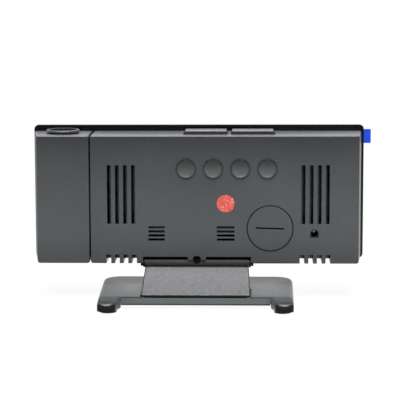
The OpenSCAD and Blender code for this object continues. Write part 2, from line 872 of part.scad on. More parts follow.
module axle_washer() {
    x1 = main_x1 - wall - loose;
    color("#b8b8ba") head() difference() {
        rod_x(turn_y, 0, axle_d / 2 + 2.4, groove_x + clip_t + 0.15, x1);
        rod_x(turn_y, 0, axle_d / 2 + fit, groove_x, x1 + 1);
    }
}

// Four thin wires from the main board, through the axle, into the projector section
module wire_loom() {
    x0 = 47.5;
    x1 = flange_x + 4;
    color("#b33a3a") head() for (i = [0:3]) {
        z = -1.8 + 1.2 * i;
        rod_x(turn_y, z, 0.5, x0, x1);
    }
}

lamp_v = -14;
lamp_half = 9.9;
lamp_posts = [[-8, -8], [8, 8]];

module lamp_board() {
    color("#1f5a34") head() difference() {
        box([lens_mid_x - lamp_half, turn_y - lamp_half, lamp_v - board_t],
            [lens_mid_x + lamp_half, turn_y + lamp_half, lamp_v]);
        for (b = lamp_posts) {
            rod_z(lens_mid_x + b[0], turn_y + b[1], screw_r + 0.15, lamp_v - 5, lamp_v + 5);
        }
    }
}

module lamp_screws() {
    color("#b0b0b2") head() for (b = lamp_posts) {
        translate([lens_mid_x + b[0], turn_y + b[1], lamp_v + screw_head_h]) screw(7);
    }
}

module lamp_led() {
    color("#f2efe2") head() {
        box([lens_mid_x - 1.75, turn_y - 1.75, lamp_v], [lens_mid_x + 1.75, turn_y + 1.75, lamp_v + 0.8]);
        translate([lens_mid_x, turn_y, lamp_v + 0.8 - eps]) intersection() {
            sphere(r = 1.5);
            cylinder(r = 2, h = 3);
        }
    }
}

tube_bore = ring_bore / 2 + fit;
tube_top = half_h - wall - 1.6;
lcd_v = 8;

module lens_tube() {
    color("#19191b") head() difference() {
        union() {
            rod_z(lens_mid_x, turn_y, tube_r, lamp_v, tube_top);
            box([lens_mid_x - lamp_half, turn_y - 1, lamp_v],
                [lens_mid_x + lamp_half, turn_y + 1, lamp_v + 6]);
            box([lens_mid_x - 1, turn_y - lamp_half, lamp_v],
                [lens_mid_x + 1, turn_y + lamp_half, lamp_v + 6]);
        }
        rod_z(lens_mid_x, turn_y, tube_bore, lcd_v, tube_top + 1);
        rod_z(lens_mid_x, turn_y, 5.15, lamp_v - 1, lcd_v + 1);
        rod_z(lens_mid_x, turn_y, 6.6, lamp_v - 1, condenser_v + 1.2);
        box([lens_mid_x - 0.75, turn_y - tube_r - 1, lcd_v + 6],
            [lens_mid_x + 0.75, turn_y + tube_r + 1, half_h]);
    }
}

condenser_v = -4;

module condenser_lens() {
    color("#dfe8ee") head() translate([lens_mid_x, turn_y, condenser_v]) {
        cylinder(r = 6.5, h = 1.18);
        translate([0, 0, 1.18 - 4]) intersection() {
            sphere(r = 6.4);
            translate([0, 0, 4 - eps]) cylinder(r = 6, h = 3);
        }
    }
}

module image_lcd() {
    color("#3a4a52") head()
        box([lens_mid_x - 4.5, turn_y - 5.5, lcd_v], [lens_mid_x + 4.5, turn_y + 5.5, lcd_v + 1.1]);
}

// Focus ring: a knurled rim on the housing, with a skirt through the wall that snaps under it
module focus_ring() {
    r_in = ring_bore / 2;
    skirt_r = hole_r - fit;
    z_lip = half_h - wall - loose;
    color("#77787b") head() translate([lens_mid_x, turn_y, 0]) rotate_extrude($fn = 96) polygon([
        [r_in, z_lip - 0.9], [skirt_r + 0.4, z_lip - 0.9], [skirt_r + 0.4, z_lip], [skirt_r, z_lip],
        [skirt_r, half_h + ring_undercut], [ring_d / 2 - 0.3, half_h + ring_undercut],
        [ring_d / 2, half_h + ring_undercut + 0.3], [ring_d / 2, half_h + ring_h - 0.4],
        [ring_d / 2 - 0.4, half_h + ring_h], [r_in + 0.8, half_h + ring_h], [r_in, half_h + ring_h - 0.8]]);
}

cell_r = ring_bore / 2 - fit;
lens_r = 5.8;
cell_z = [20, half_h + 0.4];

module lens_cell() {
    color("#121214") head() {
        translate([lens_mid_x, turn_y, 0]) rotate_extrude($fn = 96) polygon([
            [lens_r + fit, cell_z[1] - 6], [lens_r + fit, cell_z[1] - 1], [cell_r - 0.9, cell_z[1]],
            [cell_r, cell_z[1]], [cell_r, cell_z[0]], [lens_r - 0.6, cell_z[0]],
            [lens_r - 0.6, cell_z[1] - 6]]);
        for (s = [-1, 1]) {
            translate([lens_mid_x - 0.6, turn_y + s * (cell_r + 0.25) - 0.45, cell_z[0] + 1])
                cube([1.2, 0.9, 3]);
        }
    }
}

module projection_lens() {
    z0 = cell_z[1] - 6;
    color("#9fb6c8") head() translate([lens_mid_x, turn_y, z0 + 0.02]) {
        cylinder(r = lens_r, h = 2, $fn = 96);
        translate([0, 0, 2 - 7.4]) intersection() {
            sphere(r = 9.4, $fn = 96);
            translate([0, 0, 7.4 - eps]) cylinder(r = lens_r - 0.02, h = 3);
        }
    }
}

/* ---- Stand ---- */

base_wall = 1.6;
rear_wall_y = base_d / 2 - leg_out;
cover_z = [base_lift, base_lift + 0.8];
shell_z = cover_z[1] + 0.1;
cavity_z = base_h - roof;
foot_r = 4.5;
foot_h = 1.3;

leg_r = leg_w / 2;
leg_y = base_d / 2 - leg_r;
leg_x = base_w / 2 - leg_r;
leg_bottom = 0.8;
leg_root_y = rear_wall_y - 6;
leg_end_r = leg_r - leg_taper / 2;
leg_end_y = base_d / 2 - leg_end_r;
leg_step = (leg_end_y - rear_wall_y + 0.35) / 5;
soft = 2.2;          // radius of the base's upper edge

// Outline of the base without its legs, drawn inwards by inset
function base_outline(inset) = let (
    x1 = base_w / 2 - inset,
    x0 = base_front_w / 2 - inset,
    y0 = -base_d / 2 + inset,
    y1 = rear_wall_y - inset,
    r = base_r - inset)
    concat([[x1, y1]], arc([x0 - r, y0 + r], r, 0, -90), arc([r - x0, y0 + r], r, 270, 180), [[-x1, y1]]);

// One ring of the base without its legs, drawn inwards by inset except at the rear wall, at height z
function base_ring(inset, z) = let (
    x0 = base_front_w / 2 - base_r,
    y0 = -base_d / 2 + base_r)
    [for (p = concat(
        arc([-x0, y0], base_r - inset, 180, 270),
        arc([x0, y0], base_r - inset, 270, 360),
        [[base_w / 2 - inset, rear_wall_y], [inset - base_w / 2, rear_wall_y]])) [p[0], p[1], z]];

// Height of a leg's top: level with the base at first, then falling towards its end
function leg_top(y) = base_h - leg_drop * pow(max(0, (y - rear_wall_y) / leg_out), 1.5);

// Half the width of a leg, and its middle, at depth y: its inner side runs outwards to a narrower end
function leg_share(y) = max(0, min(1, (y - rear_wall_y) / (leg_end_y - rear_wall_y)));
function leg_half(y) = leg_r - leg_taper / 2 * leg_share(y);
function leg_mid(x, y) = x + sign(x) * leg_taper / 2 * leg_share(y);

// One ring of a leg, drawn inwards by inset and down from its top
function leg_ring(x, inset, down) =
    let (side = [for (i = [1:5]) leg_end_y - i * leg_step])
    [for (p = concat(arc([leg_mid(x, leg_end_y), leg_end_y], leg_end_r - inset, 0, 180, 20),
        [for (y = side) [leg_mid(x, y) - leg_half(y) + inset, y]],
        arc([x, leg_root_y], leg_r - inset, 180, 360, 8),
        [for (i = [4:-1:0]) [leg_mid(x, side[i]) + leg_half(side[i]) - inset, side[i]]]))
        [p[0], p[1], leg_top(p[1]) - down]];

// Faces that close a leg's ring of 40 points, laid in strips from side to side
function leg_strips(first) = concat(
    [[first + 9, first + 10, first + 11]],
    [for (i = [11:28]) [first + i, first + i + 1, first + (59 - i) % 40, first + (60 - i) % 40]],
    [[first + 29, first + 30, first + 31]]);

// One leg, with a rounded upper edge
module leg(x) {
    rings = concat([[for (p = leg_ring(x, 0, 0)) [p[0], p[1], leg_bottom]]],
        [for (t = [0:22.5:90]) leg_ring(x, soft * (1 - cos(t)), soft * (1 - sin(t)))]);
    n = len(rings[0]);
    k = len(rings);
    polyhedron(
        points = [for (r = rings) for (p = r) p],
        faces = concat(
            leg_strips(0),
            [for (f = leg_strips((k - 1) * n)) [for (i = [len(f) - 1:-1:0]) f[i]]],
            [for (j = [0:k - 2]) for (i = [0:n - 1])
                [j * n + i, (j + 1) * n + i, (j + 1) * n + (i + 1) % n, j * n + (i + 1) % n]]));
}

// The base's outer form: a deck that ends above the cover, and two legs that go down to their feet
module base_body() {
    difference() {
        union() {
            loft(concat([base_ring(0, leg_bottom)],
                [for (t = [0:22.5:90]) base_ring(soft * (1 - cos(t)), base_h + soft * (sin(t) - 1))]));
            leg(leg_x);
            leg(-leg_x);
        }
        box([-base_w, -base_d, 0], [base_w, rear_wall_y - 4, shell_z]);
        box([leg_r - leg_x, -base_d, 0], [leg_x - leg_r, base_d, shell_z]);
        difference() {
            linear_extrude(cavity_z) polygon(base_outline(base_wall));
            for (s = [-1, 1]) {
                box([s * leg_x - leg_r, rear_wall_y - 4, -1], [s * leg_x + leg_r, base_d, base_h]);
            }
        }
    }
}

base_bolts = [[-46, -22], [46, -22], [-46, 12], [46, 12]];
pocket_d = 0.8;      // depth of the recess that the neck sits in
pocket_y = 2;
neck_bolts = [[-18, 14], [18, 14]];
neck_floor = base_h - pocket_d;

wall_groove = 0.35;

// Fine grooves that outline the rear wall, below the deck's edge and beside the legs
module wall_grooves() {
    x = leg_x - leg_r;
    box([-x, rear_wall_y - 0.5, base_h - 0.4 - wall_groove], [x, base_d, base_h - 0.4]);
    for (s = [-1, 1]) {
        box([s * (x - wall_groove / 2) - wall_groove / 2, rear_wall_y - 0.5, 0],
            [s * (x - wall_groove / 2) + wall_groove / 2, base_d, base_h - 0.4]);
    }
}

module base_top() {
    color("#707476") stand() difference() {
        union() {
            base_body();
            for (b = base_bolts) {
                rod_z(b[0], b[1], 2.8, shell_z + 0.9, base_h - 1);
            }
        }
        wall_grooves();
        for (b = base_bolts) {
            rod_z(b[0], b[1], screw_r + fit, 0, base_h - 0.8);
        }
        for (b = neck_bolts) {
            rod_z(b[0], b[1], screw_r + 0.15, 0, base_h + 1);
        }
        for (s = [-1, 1]) {
            rod_z(s * leg_x, leg_y, foot_r + 0.05, 0, foot_h);
        }
        box([-neck_foot_w / 2 - 0.5, pocket_y, neck_floor], [neck_foot_w / 2 + 0.5, base_d, base_h + 1]);
        for (s = [-1, 1]) {
            box([s * (neck_foot_w / 2 + 0.1) - 0.4, pocket_y, cavity_z + 0.6],
                [s * (neck_foot_w / 2 + 0.1) + 0.4, base_d, base_h + 1]);
        }
    }
}

front_foot_x = 42;
front_foot_y = -29;

module base_cover() {
    color("#3a3b3d") stand() difference() {
        union() {
            translate([0, 0, cover_z[0]]) linear_extrude(cover_z[1] - cover_z[0]) polygon(base_outline(0.6));
            difference() {
                translate([0, 0, cover_z[1] - eps]) linear_extrude(0.8)
                    polygon(base_outline(base_wall + 0.15));
                translate([0, 0, cover_z[1] - 1]) linear_extrude(3)
                    polygon(base_outline(base_wall + 1.4));
            }
            for (b = base_bolts) {
                rod_z(b[0], b[1], 3, cover_z[0], shell_z + 0.8);
            }
        }
        for (b = base_bolts) {
            rod_z(b[0], b[1], screw_r + 0.15, 0, 9);
            rod_z(b[0], b[1], screw_head_r + 0.1, 0, cover_z[0] + screw_head_h);
        }
        for (s = [-1, 1]) {
            rod_z(s * front_foot_x, front_foot_y, foot_r + 0.05, 0, cover_z[0] + 0.3);
            box([s * leg_x - leg_r - 0.3, rear_wall_y - 4.3, 0], [s * leg_x + leg_r + 0.3, base_d, 9]);
        }
    }
}

module ballast_plate() {
    color("#8b8d90") stand() box([-40, -31, cover_z[1] + 0.05], [40, 5, cavity_z - 0.1]);
}

module base_feet() {
    color("#1c1c1e") stand() for (s = [-1, 1]) {
        rod_z(s * leg_x, leg_y, foot_r, 0, foot_h);
        rod_z(s * front_foot_x, front_foot_y, foot_r, 0, cover_z[0] + 0.3);
    }
}

module base_screws() {
    color("#9a9a9c") stand() for (b = base_bolts) {
        translate([b[0], b[1], cover_z[0]]) mirror([0, 0, 1]) screw(3.6);
    }
}

// Side view of the neck: its upper line runs from under the hinge down to the base's rear edge
hinge_wy = rear_y + hinge_y;
hinge_wz = head_mid + hinge_v;
neck_up = [rear_y - 0.3, hinge_wz - 2.15];
neck_down = [rear_wall_y - 0.4, base_h + 0.7];
neck_a = atan2(neck_up[1] - neck_down[1], neck_down[0] - neck_up[0]);
function neck_line(y, below) = neck_up[1] - (y - neck_up[0]) * tan(neck_a) - below / cos(neck_a);

core_foot_y = neck_down[0] - 2.1;
core_w = neck_w - 2.2;
barrel_w = neck_w + 0.2;

module neck_core() {
    core_up = neck_up[0] - 0.02;
    color("#3c3d3f") stand() difference() {
        union() {
            rod_x(hinge_wy, hinge_wz, barrel_r, -barrel_w / 2, barrel_w / 2);
            prism_x(core_w) polygon([[hinge_wy, hinge_wz], [hinge_wy, hinge_wz - barrel_r - 1.4],
                [6, neck_floor + 0.02], [core_foot_y, neck_floor + 0.02],
                [core_foot_y, neck_line(core_foot_y, neck_cover_t + 0.02)],
                [core_up, neck_line(core_up, neck_cover_t + 0.02)],
                [hinge_wy + 2.1, hinge_wz - 1.4]]);
        }
        rod_x(hinge_wy, hinge_wz, pin_d / 2 + fit, -recess_w, recess_w);
        for (b = neck_bolts) {
            rod_z(b[0], b[1], screw_r + fit, 0, neck_floor + 2.8);
        }
        translate([0, rear_y, head_mid]) rod_y(0, lip_hole_v, lip_hole_r, -hinge_in + pin_d / 2 + 0.7, 4);
    }
}

module neck_cover() {
    color("#8f9092") stand() intersection() {
        prism_x(neck_foot_w + 4) polygon([neck_up, [neck_up[0], neck_line(neck_up[0], neck_cover_t)],
            [neck_down[0] - 2, neck_line(neck_down[0] - 2, neck_cover_t)],
            [neck_down[0] - 2, neck_floor + 0.5], [neck_down[0], neck_floor + 0.5], neck_down]);
        linear_extrude(head_mid) polygon([[-neck_w / 2, neck_up[0]], [neck_w / 2, neck_up[0]],
            [neck_foot_w / 2, neck_down[0]], [-neck_foot_w / 2, neck_down[0]]]);
    }
}

module neck_screws() {
    color("#9a9a9c") stand() for (b = neck_bolts) {
        translate([b[0], b[1], cavity_z - screw_head_h]) mirror([0, 0, 1]) screw(5);
    }
}

module hinge_pin() {
    color("#b4b5b8") stand()
        rod_x(hinge_wy, hinge_wz, pin_d / 2, -recess_w / 2 - ear_t, recess_w / 2 + ear_t);
}

module hinge_washers() {
    t = (recess_w - barrel_w) / 2 - 0.1;
    color("#c6c6c2") stand() for (s = [-1, 1]) {
        x = s * (recess_w / 2 - 0.05 - t / 2);
        difference() {
            rod_x(hinge_wy, hinge_wz, barrel_r - 0.2, x - t / 2, x + t / 2);
            rod_x(hinge_wy, hinge_wz, pin_d / 2 + 0.02, x - t, x + t);
        }
    }
}

base_top();
base_cover();
ballast_plate();
base_feet();
base_screws();
neck_core();
neck_cover();
neck_screws();
hinge_pin();
hinge_washers();
rear_housing();
front_frame();
mirror_panel();
display_film();
film_tab();
frame_screws();
digit_block();
digit_diffuser();
main_board();
board_screws();
board_chips();
button_board();
rear_switches();
bar_board();
bar_switches();
power_socket();
socket_pin();
buzzer();
cell_contact();
side_contact();
coin_cell();
battery_cover();
marker_sticker();
set_button();
up_button();
down_button();
mode_button();
snooze_bar();
light_bar();
projector_housing();
projector_frame();
projector_panel();
projector_screws();
hollow_axle();
axle_washer();
axle_clip();
wire_loom();
lamp_board();
lamp_screws();
lamp_led();
condenser_lens();
image_lcd();
lens_tube();
focus_ring();
lens_cell();
projection_lens();
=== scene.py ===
import json
import math
import bmesh
import bpy
from mathutils import Matrix, Vector


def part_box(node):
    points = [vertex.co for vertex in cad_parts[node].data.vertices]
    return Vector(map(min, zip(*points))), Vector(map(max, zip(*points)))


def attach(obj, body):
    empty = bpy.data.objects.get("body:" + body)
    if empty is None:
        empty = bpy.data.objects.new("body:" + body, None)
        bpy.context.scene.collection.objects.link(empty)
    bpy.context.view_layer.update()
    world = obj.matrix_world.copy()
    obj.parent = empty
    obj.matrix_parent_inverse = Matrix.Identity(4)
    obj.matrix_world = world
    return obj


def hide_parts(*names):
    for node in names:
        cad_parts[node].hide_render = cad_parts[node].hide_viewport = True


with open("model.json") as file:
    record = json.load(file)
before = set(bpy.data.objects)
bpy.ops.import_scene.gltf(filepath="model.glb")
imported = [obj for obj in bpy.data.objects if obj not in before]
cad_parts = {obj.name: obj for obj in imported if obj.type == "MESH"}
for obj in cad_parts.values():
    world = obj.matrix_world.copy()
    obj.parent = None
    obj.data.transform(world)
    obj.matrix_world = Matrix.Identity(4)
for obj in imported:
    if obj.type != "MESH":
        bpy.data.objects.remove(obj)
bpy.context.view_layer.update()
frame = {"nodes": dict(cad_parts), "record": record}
nodes = frame["nodes"]
mm = 0.001
scene = bpy.context.scene
print("frame loaded")


# small helpers
def hexColour(code):
    # sRGB hex to the linear colour that a shader takes
    parts = [int(code[i:i + 2], 16) / 255 for i in (1, 3, 5)]
    return tuple([c / 12.92 if c <= 0.04045 else ((c + 0.055) / 1.055) ** 2.4 for c in parts] + [1.0])


def addNode(tree, kind, settings=None, links=None):
    node = tree.nodes.new(kind)
    for key, value in (settings or {}).items():
        if isinstance(key, int) or key in node.inputs:
            node.inputs[key].default_value = value
        else:
            setattr(node, key, value)
    for key, source in (links or {}).items():
        tree.links.new(source, node.inputs[key])
    return node


def newTree(name):
    material = bpy.data.materials.new(name)
    material.use_nodes = True
    tree = material.node_tree
    tree.nodes.clear()
    return material, tree


def ramp(tree, source, stops):
    # stops are (position, colour or grey level)
    node = addNode(tree, "ShaderNodeValToRGB", links={"Fac": source})
    band = node.color_ramp
    while len(band.elements) < len(stops):
        band.elements.new(0.5)
    for element, (place, value) in zip(band.elements, stops):
        element.position = place
        element.color = value if isinstance(value, tuple) else (value, value, value, 1.0)
    return node


upFacing = {"from": 0.6, "to": 0.9}
wear = {"from": 0.54, "to": 0.66, "most": 0.3, "polish": -0.3}


def shaded(tree, place, colour, shade):
    # painted shade along one axis, in mm, and painted light: a paler tone on the faces that look up
    span = [spot for spot, level in shade["stops"]]
    along = addNode(tree, "ShaderNodeSeparateXYZ", links={0: place}).outputs[shade["axis"]]
    part = addNode(tree, "ShaderNodeMapRange", {"From Min": span[0] * mm, "From Max": span[-1] * mm},
                   {"Value": along})
    stops = [((spot - span[0]) / (span[-1] - span[0]), level) for spot, level in shade["stops"]]
    band = ramp(tree, part.outputs[0], stops)
    toned = addNode(tree, "ShaderNodeMix", {"data_type": "RGBA", "blend_type": "MULTIPLY", 0: 1.0},
                    {6: colour, 7: band.outputs["Color"]})
    if "paintedTopLight" not in shade:
        return toned
    # painted light: faces that look up take a paler tone
    facing = addNode(tree, "ShaderNodeTexCoord").outputs["Normal"]
    upward = addNode(tree, "ShaderNodeMapRange", {"From Min": upFacing["from"], "From Max": upFacing["to"]},
                     {"Value": addNode(tree, "ShaderNodeSeparateXYZ", links={0: facing}).outputs["Z"]})
    return addNode(tree, "ShaderNodeMix", {"data_type": "RGBA", 7: hexColour(shade["paintedTopLight"])},
                   {0: upward.outputs[0], 6: toned.outputs[2]})


def paintedShadowLine(tree, place, colour, line):
    # a painted shadow line, fine and dark, down both slanting sides, where the cover's edges turn into its seat
    part = addNode(tree, "ShaderNodeSeparateXYZ", links={0: place})
    aside = addNode(tree, "ShaderNodeMath", {"operation": "SUBTRACT", 1: line["middle"]}, {0: part.outputs["X"]})
    aside = addNode(tree, "ShaderNodeMath", {"operation": "ABSOLUTE"}, {0: aside.outputs[0]})
    reach = addNode(tree, "ShaderNodeMath", {"operation": "MULTIPLY_ADD", 1: line["slant"]},
                    {0: part.outputs["Z"], 2: aside.outputs[0]})
    edge = addNode(tree, "ShaderNodeMapRange", {"From Min": line["from"] - line["fade"], "From Max": line["from"],
                                                "To Max": 0.95}, {"Value": reach.outputs[0]})
    return addNode(tree, "ShaderNodeMix", {"data_type": "RGBA", 7: hexColour("#060606")},
                   {0: edge.outputs[0], 6: colour})


def moulded(name, look):
    # plastic: two tones drifting over the surface, a spark-eroded grain in bump and roughness, edges rubbed smoother
    material, tree = newTree(name)
    place = addNode(tree, "ShaderNodeTexCoord").outputs["Object"]
    edge = addNode(tree, "ShaderNodeNewGeometry").outputs["Pointiness"]
    drift = addNode(tree, "ShaderNodeTexNoise", {"Scale": 1 / (look["drift"] * mm), "Detail": 3.0}, {"Vector": place})
    grain = addNode(tree, "ShaderNodeTexNoise", {"Scale": 1 / (look["grain"] * mm), "Detail": 4.0,
                                                 "Roughness": 0.65}, {"Vector": place})
    pits = addNode(tree, "ShaderNodeTexVoronoi", {"Scale": 1 / (look["grain"] * 1.7 * mm)}, {"Vector": place})
    tone = ramp(tree, drift.outputs["Fac"], [(0.3, hexColour(look["dark"])), (0.7, hexColour(look["light"]))])
    speck = ramp(tree, grain.outputs["Fac"], [(0.3, 1 - look["speck"]), (0.7, 1.0)])
    colour = addNode(tree, "ShaderNodeMix", {"data_type": "RGBA", "blend_type": "MULTIPLY", 0: 1.0},
                     {6: tone.outputs["Color"], 7: speck.outputs["Color"]})
    worn = addNode(tree, "ShaderNodeMapRange", {"From Min": wear["from"], "From Max": wear["to"], "To Min": 0.0,
                                                "To Max": wear["most"]}, {"Value": edge})
    rubbed = addNode(tree, "ShaderNodeMix", {"data_type": "RGBA", 7: hexColour(look["light"])},
                     {0: worn.outputs[0], 6: colour.outputs[2]})
    # painted shade along an axis, with painted light on the faces that look up
    if "shade" in look:
        rubbed = shaded(tree, place, rubbed.outputs[2], look["shade"])
    # painted shadow line along the cover's slanting sides
    if "outline" in look:
        rubbed = paintedShadowLine(tree, place, rubbed.outputs[2], look["outline"])
    shine = addNode(tree, "ShaderNodeMapRange", {"From Min": 0.25, "From Max": 0.75, "To Min": look["rough"] - 0.05,
                                                 "To Max": look["rough"] + 0.07}, {"Value": grain.outputs["Fac"]})
    smoother = addNode(tree, "ShaderNodeMath", {"operation": "MULTIPLY_ADD", 1: wear["polish"]},
                       {0: worn.outputs[0], 2: shine.outputs[0]})
    height = addNode(tree, "ShaderNodeMath", {"operation": "MULTIPLY_ADD", 1: 0.6},
                     {0: pits.outputs["Distance"], 2: grain.outputs["Fac"]})
    bump = addNode(tree, "ShaderNodeBump", {"Strength": look["bump"], "Distance": look["depth"] * mm},
                   {"Height": height.outputs[0]})
    surface = addNode(tree, "ShaderNodeBsdfPrincipled", {"IOR": 1.5, "Specular IOR Level": look.get("gloss", 0.5)},
                      {"Base Color": rubbed.outputs[2], "Roughness": smoother.outputs[0],
                       "Normal": bump.outputs[0]})
    addNode(tree, "ShaderNodeOutputMaterial", links={"Surface": surface.outputs[0]})
    return material


def printed(name, look):
    # a vinyl disc with a worn print: mottled ink and pale flecks where it has rubbed through
    material, tree = newTree(name)
    place = addNode(tree, "ShaderNodeTexCoord").outputs["Object"]
    ink = addNode(tree, "ShaderNodeTexNoise", {"Scale": 1 / (look["grain"] * 2 * mm), "Detail": 4.0},
                  {"Vector": place})
    rub = addNode(tree, "ShaderNodeTexNoise", {"Scale": 1 / (look["grain"] * mm), "Detail": 3.0, "Roughness": 0.7},
                  {"Vector": place})
    tone = ramp(tree, ink.outputs["Fac"], [(0.35, hexColour(look["dark"])), (0.65, hexColour(look["light"]))])
    bare = ramp(tree, rub.outputs["Fac"], [(0.57, 0.0), (0.68, 0.9)])
    colour = addNode(tree, "ShaderNodeMix", {"data_type": "RGBA", 7: hexColour(look["fleck"])},
                     {0: bare.outputs["Color"], 6: tone.outputs["Color"]})
    shine = addNode(tree, "ShaderNodeMapRange", {"To Min": look["rough"], "To Max": look["rough"] + 0.15},
                    {"Value": rub.outputs["Fac"]})
    bump = addNode(tree, "ShaderNodeBump", {"Strength": 0.1, "Distance": 0.01 * mm}, {"Height": rub.outputs["Fac"]})
    surface = addNode(tree, "ShaderNodeBsdfPrincipled", {"IOR": 1.5},
                      {"Base Color": colour.outputs[2], "Roughness": shine.outputs[0], "Normal": bump.outputs[0]})
    addNode(tree, "ShaderNodeOutputMaterial", links={"Surface": surface.outputs[0]})
    return material


def metal(name, look):
    # plated or turned metal: fine turning lines and handling marks in the roughness
    material, tree = newTree(name)
    place = addNode(tree, "ShaderNodeTexCoord").outputs["Object"]
    marks = addNode(tree, "ShaderNodeTexNoise", {"Scale": 1 / (look["grain"] * mm), "Detail": 5.0}, {"Vector": place})
    tone = ramp(tree, marks.outputs["Fac"], [(0.3, hexColour(look["dark"])), (0.7, hexColour(look["light"]))])
    shine = addNode(tree, "ShaderNodeMapRange", {"To Min": look["rough"] - 0.06, "To Max": look["rough"] + 0.1},
                    {"Value": marks.outputs["Fac"]})
    bump = addNode(tree, "ShaderNodeBump", {"Strength": 0.2, "Distance": 0.02 * mm}, {"Height": marks.outputs["Fac"]})
    surface = addNode(tree, "ShaderNodeBsdfPrincipled", {"Metallic": 1.0},
                      {"Base Color": tone.outputs["Color"], "Roughness": shine.outputs[0], "Normal": bump.outputs[0]})
    addNode(tree, "ShaderNodeOutputMaterial", links={"Surface": surface.outputs[0]})
    return material


def clear(name, look):
    # clear or tinted glass and acrylic
    material, tree = newTree(name)
    place = addNode(tree, "ShaderNodeTexCoord").outputs["Object"]
    haze = addNode(tree, "ShaderNodeTexNoise", {"Scale": 1 / (look["grain"] * mm), "Detail": 3.0}, {"Vector": place})
    shine = addNode(tree, "ShaderNodeMapRange", {"To Min": look["rough"], "To Max": look["rough"] + 0.06},
                    {"Value": haze.outputs["Fac"]})
    tone = ramp(tree, haze.outputs["Fac"], [(0.3, hexColour(look["dark"])), (0.7, hexColour(look["light"]))])
    surface = addNode(tree, "ShaderNodeBsdfPrincipled", {"IOR": look["ior"], "Transmission Weight": look["through"]},
                      {"Base Color": tone.outputs["Color"], "Roughness": shine.outputs[0]})
    addNode(tree, "ShaderNodeOutputMaterial", links={"Surface": surface.outputs[0]})
    return material


# materials, each named for what the real one is
# tones along an axis as (mm, level) are painted shade and light; the walls are painted darker towards their top and
# their foot
buttonLo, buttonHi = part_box("set_button")
buttonMid = (buttonLo.z + buttonHi.z) / 2 / mm
wallPaintedShade = [(22, 0.56), (28, 0.72), (33, 0.88), (40, 0.98), (56, 1.0), (66, 0.93), (75, 0.84), (80, 0.75),
            (85, 0.62), (92, 0.46)]
# painted light and shade along Y: the base is paler at its far part, darker beneath the head, and darkest at the leg
# ends
basePaintedShade = [(-40, 1.0), (-22, 1.0), (-10, 0.5), (0, 0.5), (18, 0.66), (30, 0.56), (34, 0.2), (46, 0.18)]
# painted shade along Z: the neck is darker low down
neckPaintedShade = [(6, 0.74), (11, 0.84), (17, 1.0)]
evenTone = [(0, 1.0), (99, 1.0)]
neckLo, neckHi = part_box("neck_cover")
nearEnd = 0.4 * mm
neckEnds = [[v.co.x for v in nodes["neck_cover"].data.vertices if abs(v.co.z - z) < nearEnd]
            for z in (neckLo.z, neckHi.z)]
neckHalf = [(max(xs) - min(xs)) / 2 for xs in neckEnds]
neckSlant = (neckHalf[0] - neckHalf[1]) / (neckHi.z - neckLo.z)
# where the painted shadow line runs along the cover's slanting sides
neckShadowLine = {"middle": (max(neckEnds[0]) + min(neckEnds[0])) / 2, "slant": neckSlant, "fade": 0.1 * mm,
            "from": neckHalf[0] + neckSlant * neckLo.z - 0.45 * mm}
# painted shade along Z: each button's dish is darker in its upper part and a little darker at its foot
dishPaintedShade = [(buttonMid + z, level) for z, level in ((-5, 0.7), (-3, 0.9), (-1, 0.9), (0, 0.7), (1, 0.58), (2, 0.37),
                                                     (3, 0.24), (4, 0.1), (5, 0.0))]
